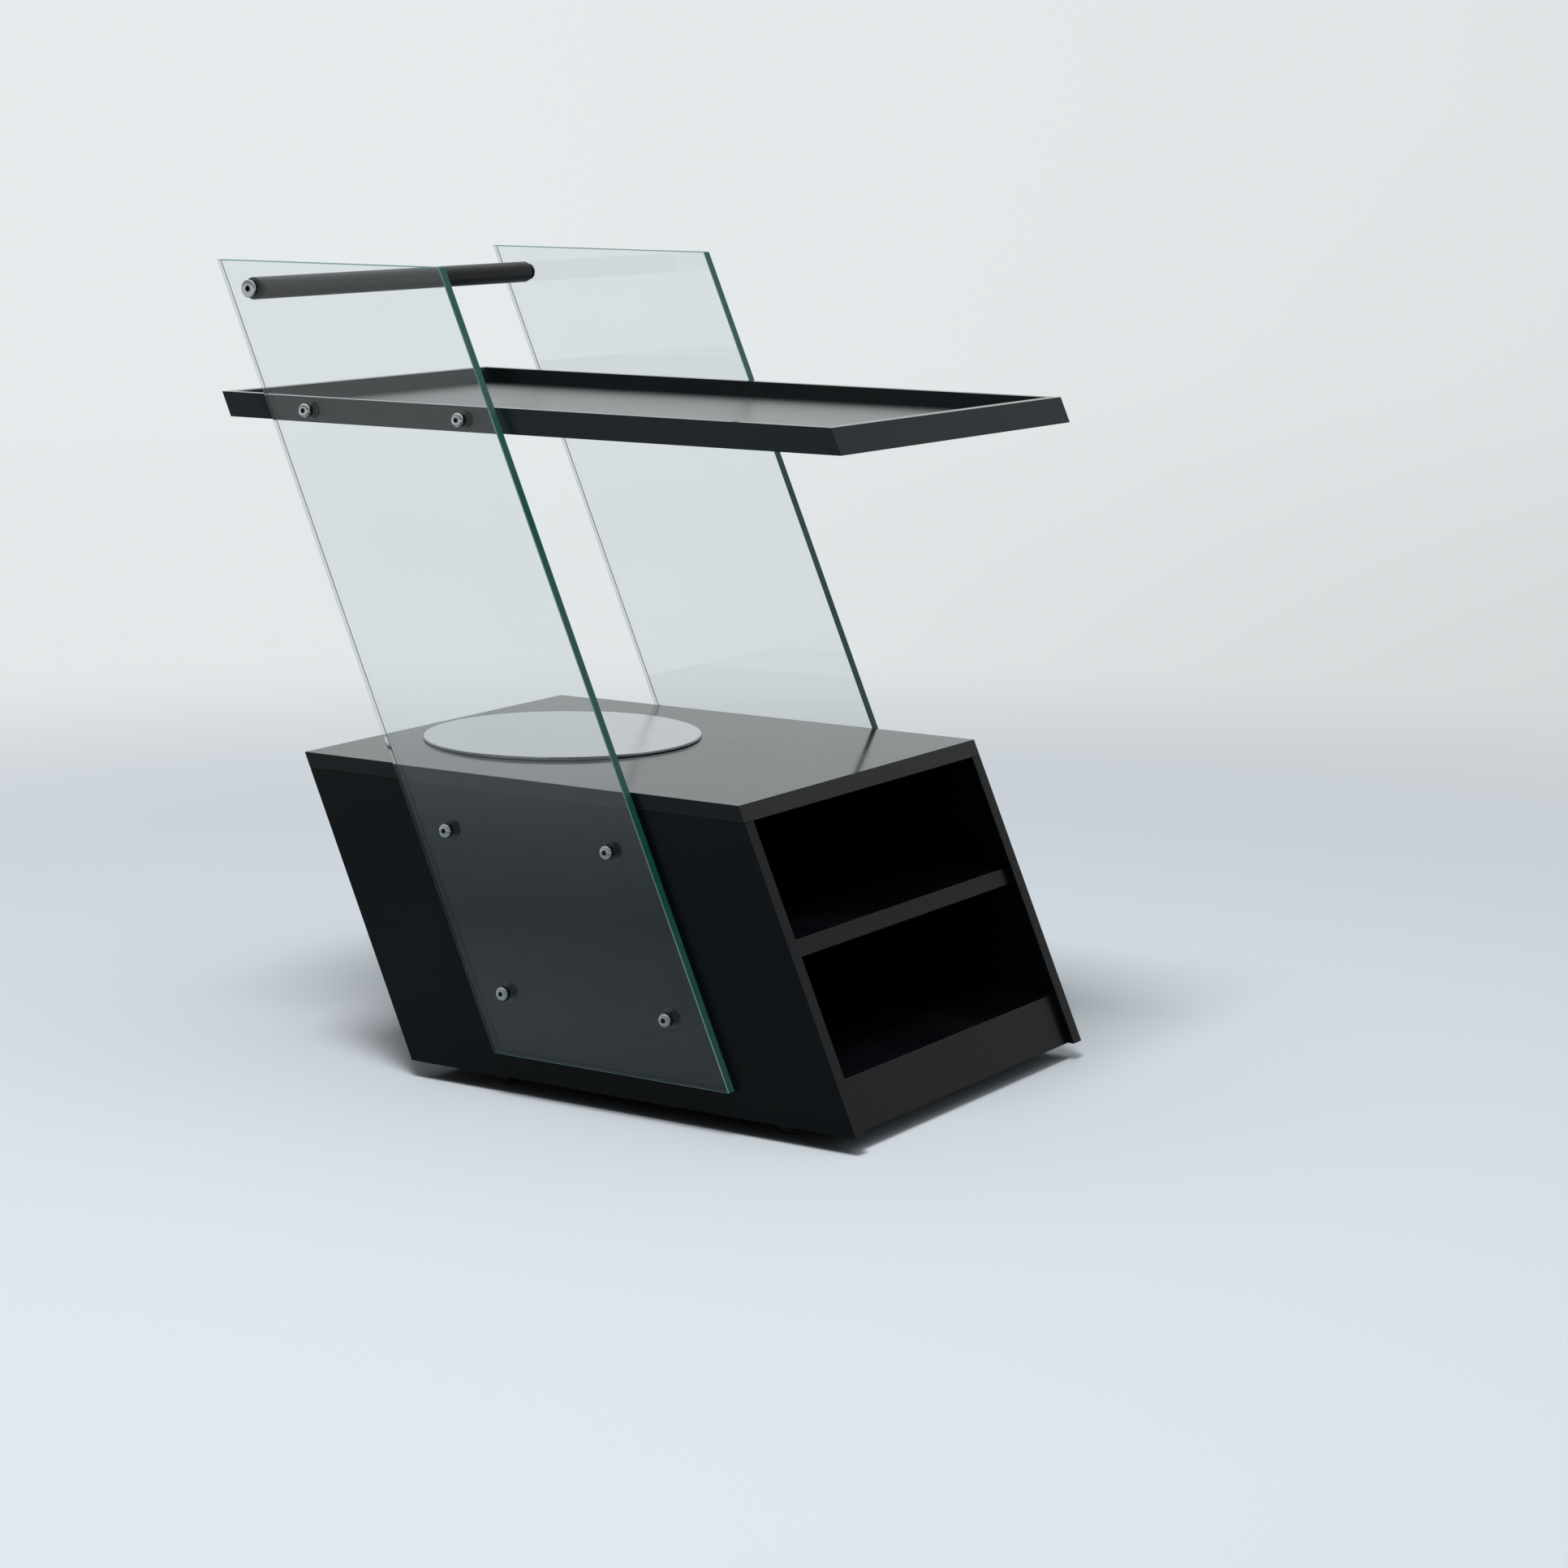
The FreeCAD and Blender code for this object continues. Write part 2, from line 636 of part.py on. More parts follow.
def tray_side_wall(label, left):
    outer = HALF_TRAY if left else f"-{HALF_TRAY}"
    near, far = (TRAY_HALF_INSIDE, outer) if left else (outer, f"-{TRAY_HALF_INSIDE}")
    body = leaning_board(label, TRAY_INSIDE_REAR, TRAY_INSIDE_FRONT, "dims.tray_base", TRAY_TOP,
                         near, far)
    soften(body, "Fillet", "dims.tray_edge_break", every_edge)
    drill_side(body, tray_bolt_places(), "dims.insert_radius + dims.snug", outer,
               "dims.insert_hole_tray", towards_left=not left)


def tray_end_wall(label, rear, front):
    body = leaning_board(label, rear, front, "dims.tray_base", TRAY_TOP, f"-{HALF_TRAY}", HALF_TRAY)
    soften(body, "Fillet", "dims.tray_edge_break", every_edge)


# ---- push bar ----------------------------------------------------------------------------

def handle_bar():
    body = new_body("handle_bar")
    sketch = side_sketch(body)
    x, z = bar_place()
    draw_circle(sketch, x, z, "dims.bar_radius")
    draw_circle(sketch, x, z, "dims.bar_radius - dims.bar_wall")
    pad(body, sketch, f"2 * {BAR_END}", symmetric=True)


def handle_end_plugs():
    body = ring_group("handle_end_plugs", [bar_place()], f"{BAR_END} - dims.plug_length",
                      "dims.plug_length", "dims.bar_radius - dims.bar_wall - dims.snug",
                      "dims.bolt_radius + dims.snug")
    mirror_across(body)


def handle_washers():
    body = ring_group("handle_washers", [bar_place()], BAR_END, "dims.bar_washer_thickness",
                      "dims.bar_radius", "dims.bushing_bore")
    mirror_across(body)


def handle_screws():
    body = new_body("handle_screws")
    x, z = bar_place()
    head = side_sketch(body, HEAD_SEAT)
    draw_circle(head, x, z, "dims.bar_screw_head_radius")
    pad(body, head, "dims.bar_screw_head_height", reverse=True)
    head_face = f"{HEAD_SEAT} + dims.bar_screw_head_height"
    rim_y = value(head_face)
    soften(body, "Fillet", "dims.edge_break", lambda edge: same(edge.CenterOfMass.y, rim_y))
    shank = side_sketch(body, HEAD_SEAT)
    draw_circle(shank, x, z, "dims.bolt_radius")
    pad(body, shank, "dims.bar_screw_length")
    socket = side_sketch(body, f"{head_face} - dims.bar_socket_depth")
    draw_hexagon(socket, x, z, "dims.bar_socket_width")
    cut(body, socket, "dims.bar_socket_depth")
    mirror_across(body)


# ---- serving disc ------------------------------------------------------------------------

DISC_X = along("dims.disc_centre", "dims.cabinet_height")


def serving_disc():
    body = new_body("serving_disc")
    base = f"{level('dims.cabinet_height')} + dims.disc_ring_thickness"
    sketch = new_sketch(body, "XY_Plane", base)
    draw_circle(sketch, DISC_X, "0", "dims.disc_radius")
    pad(body, sketch, "dims.disc_thickness")
    rim_z = value(f"{base} + dims.disc_thickness")
    soften(body, "Fillet", "dims.disc_edge", lambda edge: same(edge.CenterOfMass.z, rim_z))


def disc_pad_ring():
    body = new_body("disc_pad_ring")
    sketch = new_sketch(body, "XY_Plane", level("dims.cabinet_height"))
    draw_circle(sketch, DISC_X, "0", "dims.disc_ring_radius")
    draw_circle(sketch, DISC_X, "0", "dims.disc_ring_radius - dims.disc_ring_width")
    pad(body, sketch, "dims.disc_ring_thickness")


# ---- casters -----------------------------------------------------------------------------
# Each caster piece is drawn round its swivel axis, with the wheel trailing to the right of
# the trolley, and its Placement carries it to the axis.

PLATE_BASE = f"({BOARD_BASE} - dims.plate_thickness)"
FORK_CEILING = "(dims.fork_top - dims.fork_roof)"


def place_body(body, x, y, z="0"):
    for axis, expression in (("x", x), ("y", y), ("z", z)):
        body.setExpression(f"Placement.Base.{axis}", expression)


def caster_plate(label, x, y):
    body = new_body(label)
    sketch = new_sketch(body, "XY_Plane", PLATE_BASE)
    half = "dims.plate_width / 2"
    draw_rectangle(sketch, f"-{half}", f"-{half}", half, half)
    draw_circle(sketch, "0", "0", "dims.kingpin_radius + dims.snug")
    for across in (-1, 1):
        for ahead in (-1, 1):
            draw_circle(sketch, f"{across} * dims.screw_inset", f"{ahead} * dims.screw_inset",
                        "dims.plate_hole_radius")
    pad(body, sketch, "dims.plate_thickness")
    corner = value(half)
    soften(body, "Fillet", "dims.plate_corner",
           lambda edge: same(abs(edge.CenterOfMass.x), corner)
           and same(abs(edge.CenterOfMass.y), corner))
    place_body(body, x, y)


def caster_race(label, x, y):
    body = new_body(label)
    sketch = new_sketch(body, "XY_Plane", "dims.fork_top + dims.race_gap")
    draw_circle(sketch, "0", "0", "dims.race_radius")
    draw_circle(sketch, "0", "0", "dims.kingpin_radius + dims.snug")
    pad(body, sketch, f"{PLATE_BASE} - dims.fork_top - dims.race_gap")
    place_body(body, x, y)


def caster_kingpin(label, x, y):
    body = new_body(label)
    head_top = f"({FORK_CEILING} - dims.race_gap)"
    head = new_sketch(body, "XY_Plane", f"{head_top} - dims.kingpin_head_height")
    draw_circle(head, "0", "0", "dims.kingpin_head_radius")
    pad(body, head, "dims.kingpin_head_height")
    shank = new_sketch(body, "XY_Plane", head_top)
    draw_circle(shank, "0", "0", "dims.kingpin_radius")
    pad(body, shank, f"{BOARD_BASE} - {head_top}")
    place_body(body, x, y)


def caster_fork(label, x, y):
    body = new_body(label)
    outline = new_sketch(body, "YZ_Plane")
    rear = "-(dims.caster_trail + dims.fork_boss)"
    draw_polygon(outline, [
        ("dims.fork_front", "dims.fork_top"),
        (rear, "dims.fork_top"),
        (rear, "dims.fork_toe"),
        ("dims.fork_boss - dims.caster_trail", "dims.fork_toe"),
        ("dims.fork_front", "dims.fork_shoulder"),
    ])
    pad(body, outline, "dims.fork_width", symmetric=True)
    toe = value("dims.fork_toe")
    soften(body, "Fillet", "dims.fork_corner",
           lambda edge: same(edge.CenterOfMass.z, toe) and same(edge.CenterOfMass.x, 0))
    inside = new_sketch(body, "YZ_Plane")
    draw_rectangle(inside, f"{rear} - dims.overcut", "0", "dims.fork_front + dims.overcut",
                   FORK_CEILING)
    cut(body, inside, "dims.fork_inside", symmetric=True)
    axle_hole = new_sketch(body, "YZ_Plane")
    draw_circle(axle_hole, "-dims.caster_trail", "dims.wheel_radius", "dims.axle_radius + dims.snug")
    cut(body, axle_hole, "dims.fork_width + 2 * dims.overcut", symmetric=True)
    drill_upright(body, [("0", "0")], "dims.kingpin_radius + dims.running_gap", "dims.fork_top",
                  "dims.fork_roof", upwards=False)
    place_body(body, x, y)


def caster_axle(label, x, y):
    body = new_body(label)
    shank = new_sketch(body, "YZ_Plane")
    draw_circle(shank, "0", "0", "dims.axle_radius")
    pad(body, shank, "dims.fork_width + 2 * dims.axle_head_height", symmetric=True)
    head = new_sketch(body, "YZ_Plane", "dims.fork_width / 2")
    draw_circle(head, "0", "0", "dims.axle_head_radius")
    pad(body, head, "dims.axle_head_height")
    nut = new_sketch(body, "YZ_Plane", "-dims.fork_width / 2")
    draw_hexagon(nut, "0", "0", "2 * dims.axle_head_radius * cos(30 deg)")
    pad(body, nut, "dims.axle_head_height", reverse=True)
    place_body(body, x, f"{y} - dims.caster_trail", "dims.wheel_radius")


def caster_hub(label, x, y):
    body = new_body(label)
    sketch = new_sketch(body, "XZ_Plane")
    bore = "dims.axle_radius + dims.running_gap"
    half_profile = [
        ("dims.hub_boss_half", bore),
        ("dims.hub_boss_half", "dims.hub_boss_radius"),
        ("dims.hub_web_half", "dims.hub_boss_radius"),
        ("dims.hub_web_half", "dims.hub_rim_inner"),
        ("dims.hub_rim_half", "dims.hub_rim_inner"),
        ("dims.hub_rim_half", "dims.tyre_inner"),
    ]
    other_half = [(f"-{across}", radius) for across, radius in reversed(half_profile)]
    draw_polygon(sketch, half_profile + other_half)
    revolve(body, sketch)
    place_body(body, x, f"{y} - dims.caster_trail", "dims.wheel_radius")


def caster_tyre(label, x, y):
    body = new_body(label)
    sketch = new_sketch(body, "XZ_Plane")
    half = "dims.tyre_width / 2"
    draw_rectangle(sketch, f"-{half}", "dims.tyre_inner + dims.snug", half, "dims.wheel_radius")
    revolve(body, sketch)
    tread = value("dims.wheel_radius")
    soften(body, "Fillet", "dims.tyre_round",
           lambda edge: hasattr(edge.Curve, "Radius") and same(edge.Curve.Radius, tread))
    place_body(body, x, f"{y} - dims.caster_trail", "dims.wheel_radius")


def caster_screws():
    body = new_body("caster_screws")
    heads = new_sketch(body, "XY_Plane", PLATE_BASE)
    for x, y in caster_screw_places():
        draw_circle(heads, x, y, "dims.screw_head_radius")
    pad(body, heads, "dims.screw_head_height", reverse=True)
    shanks = new_sketch(body, "XY_Plane", PLATE_BASE)
    for x, y in caster_screw_places():
        draw_circle(shanks, x, y, "dims.screw_radius")
    pad(body, shanks, "dims.plate_thickness + dims.screw_grip")


# ---- the whole trolley -------------------------------------------------------------------

side_panel("right_side_panel", left=False)
side_panel("left_side_panel", left=True)
top_panel()
bottom_board()
middle_shelf()
kick_panel()
rear_apron()
back_panel()
side_dowels()
top_dowels()

glass_panel("right_glass_panel", left=False)
glass_panel("left_glass_panel", left=True)
panel_bolts()
glass_bushings()
threaded_inserts()
glass_seats()
tray_spacers()

tray_floor()
tray_side_wall("tray_right_wall", left=False)
tray_side_wall("tray_left_wall", left=True)
tray_end_wall("tray_rear_wall", TRAY_REAR, TRAY_INSIDE_REAR)
tray_end_wall("tray_front_wall", TRAY_INSIDE_FRONT, TRAY_FRONT)

handle_bar()
handle_end_plugs()
handle_washers()
handle_screws()

serving_disc()
disc_pad_ring()

for corner, axis_x, axis_y in caster_axes():
    caster_plate(f"caster_{corner}_plate", axis_x, axis_y)
    caster_race(f"caster_{corner}_race", axis_x, axis_y)
    caster_kingpin(f"caster_{corner}_kingpin", axis_x, axis_y)
    caster_fork(f"caster_{corner}_fork", axis_x, axis_y)
    caster_axle(f"caster_{corner}_axle", axis_x, axis_y)
    caster_hub(f"caster_{corner}_hub", axis_x, axis_y)
    caster_tyre(f"caster_{corner}_tyre", axis_x, axis_y)
caster_screws()

doc.recompute()

failed = [item.Label for item in doc.Objects if {"Invalid", "Error"} & set(item.State)]
if failed:
    raise RuntimeError(f"these objects failed: {failed}")
for sub_part in sub_parts:
    if sub_part.Shape.isNull() or not sub_part.Shape.isValid():
        raise RuntimeError(f"{sub_part.Label} has no valid shape")

os.makedirs("parts", exist_ok=True)
for sub_part in sub_parts:
    sub_part.Shape.exportStep(f"parts/{sub_part.Label}.step")
print(f"{len(sub_parts)} sub-parts written")
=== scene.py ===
import bmesh
import bpy
import json
import math
from mathutils import Matrix, Vector


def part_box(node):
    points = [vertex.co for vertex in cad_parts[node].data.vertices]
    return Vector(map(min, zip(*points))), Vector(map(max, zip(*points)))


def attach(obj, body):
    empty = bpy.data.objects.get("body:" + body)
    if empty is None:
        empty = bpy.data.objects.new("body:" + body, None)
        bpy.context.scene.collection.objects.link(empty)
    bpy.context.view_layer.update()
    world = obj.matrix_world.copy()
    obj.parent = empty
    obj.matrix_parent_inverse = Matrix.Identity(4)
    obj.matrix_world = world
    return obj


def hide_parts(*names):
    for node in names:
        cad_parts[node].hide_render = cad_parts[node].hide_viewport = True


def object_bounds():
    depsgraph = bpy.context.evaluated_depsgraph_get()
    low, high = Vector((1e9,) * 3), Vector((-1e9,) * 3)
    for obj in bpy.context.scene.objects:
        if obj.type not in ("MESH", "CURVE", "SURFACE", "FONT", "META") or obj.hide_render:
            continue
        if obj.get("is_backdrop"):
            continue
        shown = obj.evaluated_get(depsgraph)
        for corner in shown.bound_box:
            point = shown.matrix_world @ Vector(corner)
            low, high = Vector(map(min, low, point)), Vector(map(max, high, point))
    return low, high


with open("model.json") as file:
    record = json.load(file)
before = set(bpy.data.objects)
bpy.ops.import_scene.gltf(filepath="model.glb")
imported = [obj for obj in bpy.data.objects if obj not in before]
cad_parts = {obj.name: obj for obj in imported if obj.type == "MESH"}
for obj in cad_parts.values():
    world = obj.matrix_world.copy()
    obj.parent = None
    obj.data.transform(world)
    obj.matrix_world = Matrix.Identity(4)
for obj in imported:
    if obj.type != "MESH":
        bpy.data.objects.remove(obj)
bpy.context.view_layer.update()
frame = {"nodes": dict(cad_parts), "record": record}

nodes = frame["nodes"]
print("frame loaded:", len(nodes), "nodes")


# camera at the photograph's view

cameraView = {
    "place": (2.4010, -3.4817, 1.0966),
    "azimuth": 32.586,   # degrees, 0 looks along +Y
    "pitch": 10.446,     # degrees below the horizon
    "roll": 0.279,       # degrees
    "lens": 85.83,       # mm
    "sensor": 36,        # mm
}


def makeCamera(view):
    azimuth, pitch, roll = (math.radians(view[name]) for name in ("azimuth", "pitch", "roll"))
    level = Vector((-math.sin(azimuth), math.cos(azimuth), 0))
    ahead = level * math.cos(pitch) - Vector((0, 0, math.sin(pitch)))
    right = Vector((math.cos(azimuth), math.sin(azimuth), 0))
    turned = Matrix((right, right.cross(ahead), -ahead)).transposed() @ Matrix.Rotation(roll, 3, "Z")
    data = bpy.data.cameras.new("camera")
    data.lens = view["lens"]
    data.sensor_width = view["sensor"]
    camera = bpy.data.objects.new("camera", data)
    camera.matrix_world = Matrix.Translation(view["place"]) @ turned.to_4x4()
    bpy.context.scene.collection.objects.link(camera)
    bpy.context.scene.camera = camera


makeCamera(cameraView)
bpy.context.scene.view_settings.view_transform = "Standard"
print("camera placed")


# small helpers for shader nodes

def addNode(tree, kind, sockets=None, **settings):
    node = tree.nodes.new(kind)
    for name, setting in settings.items():
        setattr(node, name, setting)
    for name, value in (sockets or {}).items():
        feed(tree, node.inputs[name], value)
    return node


def feed(tree, socket, value):
    if isinstance(value, bpy.types.NodeSocket):
        tree.links.new(value, socket)
    else:
        socket.default_value = value


def calculate(tree, operation, first, second, clamp=False):
    sockets = {0: first, 1: second}
    return addNode(tree, "ShaderNodeMath", sockets, operation=operation, use_clamp=clamp).outputs[0]


def mixLevel(tree, share, first, second):
    return addNode(tree, "ShaderNodeMix", {0: share, 2: first, 3: second}).outputs[0]


def mixColour(tree, share, first, second):
    sockets = {0: share, 6: first, 7: second}
    return addNode(tree, "ShaderNodeMix", sockets, data_type="RGBA").outputs[2]


def remap(tree, value, fromLow, fromHigh, toLow, toHigh, smooth=False):
    sockets = {0: value, 1: fromLow, 2: fromHigh, 3: toLow, 4: toHigh}
    style = "SMOOTHSTEP" if smooth else "LINEAR"
    return addNode(tree, "ShaderNodeMapRange", sockets, interpolation_type=style).outputs[0]


def objectPlace(tree):
    return addNode(tree, "ShaderNodeTexCoord").outputs["Object"]


def noise(tree, place, scale, detail, roughness=0.5):
    sockets = {"Vector": place, "Scale": scale, "Detail": detail, "Roughness": roughness}
    return addNode(tree, "ShaderNodeTexNoise", sockets).outputs["Fac"]


def rayShare(tree, *kinds):
    path = addNode(tree, "ShaderNodeLightPath")
    total = path.outputs[kinds[0]]
    for kind in kinds[1:]:
        total = calculate(tree, "ADD", total, path.outputs[kind], clamp=True)
    return total


def mirrorShare(tree):
    # light that passes through glass counts as glossy too, so that comes off
    path = addNode(tree, "ShaderNodeLightPath").outputs
    glossy, passing = path["Is Glossy Ray"], path["Is Transmission Ray"]
    return calculate(tree, "SUBTRACT", glossy, passing, clamp=True)


def shade(colour, factor):
    return [channel * factor for channel in colour[:3]] + [1]  # with an alpha of 1


# floor, room and lamp

studio = {
    "floorColour": (0.69, 0.735, 0.785, 1),
    "floorSize": 300.0,                     # m
    "floorRoughness": 0.8,
    "floorSpecular": 0.1,
    "floorFade": (1.4, 3.2),                # m from the trolley, where the floor turns into the room
    "roomColour": (0.75, 0.782, 0.793, 1),
    "roomLeft": 1.06,                       # the room is a little brighter to the left
    "roomRight": 0.91,
    "roomTurn": (-0.75, 0.1),               # direction along X, from left to right
    "roomLow": 0.965,                       # and a little darker where it meets the floor
    "roomRise": (2.5, 12.0),                # m from the trolley
    "skyLow": 0.02,                         # light near the horizon
    "skyHigh": 1.35,                        # light from above
    "skyTurn": (0.65, 0.95),                # direction along Z
    "skyFront": 0.45,                       # light from the trolley's open side
    "skyFrontTurn": (0.2, 0.9),             # direction along X
    "skyFrontRise": (0.12, 0.35),           # direction along Z, so that none comes along the floor
}
# painted shade: in gloss the floor shows darker than its colour, darker still further off and on the
# open side
mirrored = {                                # the same floor and room, as gloss shows them
    "floorNear": (0.40, 0.47, 0.50, 1),
    "floorFar": (0.19, 0.245, 0.275, 1),
    "floorTurn": (0.75, 1.2),               # m from the trolley, from near to far
    "floorShade": 0.45,                     # painted shade: how much darker the floor shows in gloss on the open side
    "floorShadeTurn": (-0.9, 0.3),          # m along X
    "floorFade": (1.6, 3.6),                # m from the trolley, where the floor turns into the room
    "roomEnd": (4.0, 4.9),                  # m from the trolley, where the room darkens
    "roomEndLevel": 0.75,
    "front": 0.63,                          # level on the trolley's open side
    "frontTurn": (-0.3, 0.5),               # direction along X
    "near": 0.36,                           # level on the side of the camera
    "nearTurn": (-0.7, 0.3),                # direction along Y
    "above": 1.5,                           # level overhead
    "aboveTurn": (0.35, 0.75),              # direction along Z
}
lampLook = {
    "place": (0.6, -2.4, 6.2),
    "target": (0, 0, 0.3),
    "size": 2.0,                            # m
    "power": 285,                           # W
}


def roomLevel(tree, heading, studio):
    across = addNode(tree, "ShaderNodeSeparateXYZ", {0: heading}).outputs["X"]
    levels = (studio["roomLeft"], studio["roomRight"])
    return remap(tree, across, *studio["roomTurn"], *levels, smooth=True)


def floorColours(tree, place, distance, glossy, studio, mirrored):
    far = remap(tree, distance, *mirrored["floorTurn"], 0, 1, smooth=True)
    glossColour = mixColour(tree, far, mirrored["floorNear"], mirrored["floorFar"])
    # painted shade on the open side, seen in gloss only
    across = addNode(tree, "ShaderNodeSeparateXYZ", {0: place}).outputs["X"]
    shaded = remap(tree, across, *mirrored["floorShadeTurn"], 0, mirrored["floorShade"], smooth=True)
    glossColour = mixColour(tree, shaded, glossColour, (0, 0, 0, 1))
    return mixColour(tree, glossy, studio["floorColour"], glossColour)


def makeFloor(studio, mirrored):
    bpy.ops.mesh.primitive_plane_add(size=studio["floorSize"])
    floor = bpy.context.object
    floor.name = "floor"
    material = bpy.data.materials.new("floor")
    material.use_nodes = True
    tree = material.node_tree
    shader = tree.nodes["Principled BSDF"]
    shader.inputs["Roughness"].default_value = studio["floorRoughness"]
    shader.inputs["Specular IOR Level"].default_value = studio["floorSpecular"]
    place = objectPlace(tree)
    distance = addNode(tree, "ShaderNodeVectorMath", {0: place}, operation="LENGTH").outputs["Value"]
    heading = addNode(tree, "ShaderNodeVectorMath", {0: place}, operation="NORMALIZE").outputs[0]
    glossy = mirrorShare(tree)
    colours = floorColours(tree, place, distance, glossy, studio, mirrored)
    tree.links.new(colours, shader.inputs["Base Color"])

    # how much of the room shows in place of the floor
    seenFade = remap(tree, distance, *studio["floorFade"], 0, 1, smooth=True)
    glossFade = remap(tree, distance, *mirrored["floorFade"], 0, 1, smooth=True)
    seen = rayShare(tree, "Is Camera Ray", "Is Transmission Ray")
    seen = calculate(tree, "MULTIPLY", seenFade, seen)
    share = calculate(tree, "ADD", seen, calculate(tree, "MULTIPLY", glossFade, glossy), clamp=True)

    # and how bright it is there
    ending = remap(tree, distance, *mirrored["roomEnd"], 1, mirrored["roomEndLevel"], smooth=True)
    ending = mixLevel(tree, glossy, 1.0, ending)
    rise = remap(tree, distance, *studio["roomRise"], studio["roomLow"], 1, smooth=True)
    fading = calculate(tree, "MULTIPLY", ending, rise)
    level = calculate(tree, "MULTIPLY", roomLevel(tree, heading, studio), fading)
    room = addNode(tree, "ShaderNodeEmission", {"Color": studio["roomColour"], "Strength": level})
    both = addNode(tree, "ShaderNodeMixShader", {0: share, 1: shader.outputs[0], 2: room.outputs[0]})
    tree.links.new(both.outputs[0], tree.nodes["Material Output"].inputs["Surface"])
    floor.data.materials.append(material)
    floor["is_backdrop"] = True


def makeRoom(studio, mirrored):
    world = bpy.data.worlds.new("room")
    world.use_nodes = True
    bpy.context.scene.world = world
    tree = world.node_tree
    heading = addNode(tree, "ShaderNodeTexCoord").outputs["Generated"]
    parts = addNode(tree, "ShaderNodeSeparateXYZ", {0: heading}).outputs

    front = remap(tree, parts["X"], *mirrored["frontTurn"], 1, mirrored["front"], smooth=True)
    near = remap(tree, parts["Y"], *mirrored["nearTurn"], mirrored["near"], 1, smooth=True)
    above = remap(tree, parts["Z"], *mirrored["aboveTurn"], 1, mirrored["above"], smooth=True)
    glossLevel = calculate(tree, "MULTIPLY", calculate(tree, "MULTIPLY", front, near), above)

    skyLevels = (studio["skyLow"], studio["skyHigh"])
    fromAbove = remap(tree, parts["Z"], *studio["skyTurn"], *skyLevels, smooth=True)
    fromFront = remap(tree, parts["X"], *studio["skyFrontTurn"], 0, studio["skyFront"], smooth=True)
    aboveFloor = remap(tree, parts["Z"], *studio["skyFrontRise"], 0, 1, smooth=True)
    lightLevel = calculate(tree, "ADD", fromAbove, calculate(tree, "MULTIPLY", fromFront, aboveFloor))

    unseen = mixLevel(tree, mirrorShare(tree), lightLevel, glossLevel)
    seen = rayShare(tree, "Is Camera Ray", "Is Transmission Ray")
    background = tree.nodes["Background"]
    background.inputs["Color"].default_value = studio["roomColour"]
    level = mixLevel(tree, seen, unseen, roomLevel(tree, heading, studio))
    tree.links.new(level, background.inputs["Strength"])


def makeLamp(look):
    data = bpy.data.lights.new("lamp", "AREA")
    data.size = look["size"]
    data.energy = look["power"]
    lamp = bpy.data.objects.new("lamp", data)
    lamp.location = look["place"]
    aim = Vector(look["target"]) - Vector(look["place"])
    lamp.rotation_euler = aim.to_track_quat("-Z", "Y").to_euler()
    lamp.visible_glossy = False
    bpy.context.scene.collection.objects.link(lamp)


makeFloor(studio, mirrored)
makeRoom(studio, mirrored)
makeLamp(lampLook)
print("studio set")


# effects that several finishes share

sprayLook = {"detail": 2.0, "roughness": 0.4}
wipeLook = {
    "turn": 0.5,                     # radians about Z, as a hand wipes across
    "stretch": (3.0, 17.0, 9.0),     # marks per m, few along the wipe and many across it
    "streakDetail": 4.0,
    "patches": 5.0,                  # per m
    "patchDetail": 3.0,
    "range": (0.14, 0.4),            # from clean to dull
}
brushDetail = 3.0
levelStart = 0.6                     # how far up a face looks before it counts as level


def startGroup(name, inputs, output):
    group = bpy.data.node_groups.new(name, "ShaderNodeTree")
    for socketName, kind, value in inputs:
        socket = group.interface.new_socket(socketName, in_out="INPUT", socket_type=kind)
        socket.default_value = value
    group.interface.new_socket(output, in_out="OUTPUT", socket_type="NodeSocketFloat")
    given = group.nodes.new("NodeGroupInput").outputs
    return group, given, group.nodes.new("NodeGroupOutput").inputs[0]


def useGroup(tree, group, **values):
    node = tree.nodes.new("ShaderNodeGroup")
    node.node_tree = group
    for name, value in values.items():
        feed(tree, node.inputs[name], value)
    return node.outputs[0]


def makeSprayGroup(look):
    # the faint waves that sprayed lacquer and powder coat dry with
    group, given, result = startGroup("sprayWaves", [("Scale", "NodeSocketFloat", 300.0)], "Height")
    waves = noise(group, objectPlace(group), given["Scale"], look["detail"], look["roughness"])
    group.links.new(waves, result)
    return group


def makeWipeGroup(look):
    # wipe marks and hand marks, 0 where clean and 1 where dull
    group, given, result = startGroup("wipeMarks", [("Scale", "NodeSocketFloat", 1.0)], "Marks")
    sockets = {0: objectPlace(group), "Scale": given["Scale"]}
    scaled = addNode(group, "ShaderNodeVectorMath", sockets, operation="SCALE").outputs[0]
    sockets = {"Vector": scaled, "Rotation": (0, 0, look["turn"]), "Scale": look["stretch"]}
    drawn = addNode(group, "ShaderNodeMapping", sockets).outputs[0]
    streaks = noise(group, drawn, 1.0, look["streakDetail"])
    patches = noise(group, scaled, look["patches"], look["patchDetail"])
    both = calculate(group, "MULTIPLY", streaks, patches)
    group.links.new(remap(group, both, *look["range"], 0, 1), result)
    return group


def makeBrushGroup(detail):
    # fine lines, drawn out along the axis that has the smallest scale
    inputs = [("Scale", "NodeSocketVector", (400.0, 8.0, 400.0))]
    group, given, result = startGroup("brushedLines", inputs, "Lines")
    sockets = {"Vector": objectPlace(group), "Scale": given["Scale"]}
    drawn = addNode(group, "ShaderNodeMapping", sockets).outputs[0]
    group.links.new(noise(group, drawn, 1.0, detail), result)
    return group


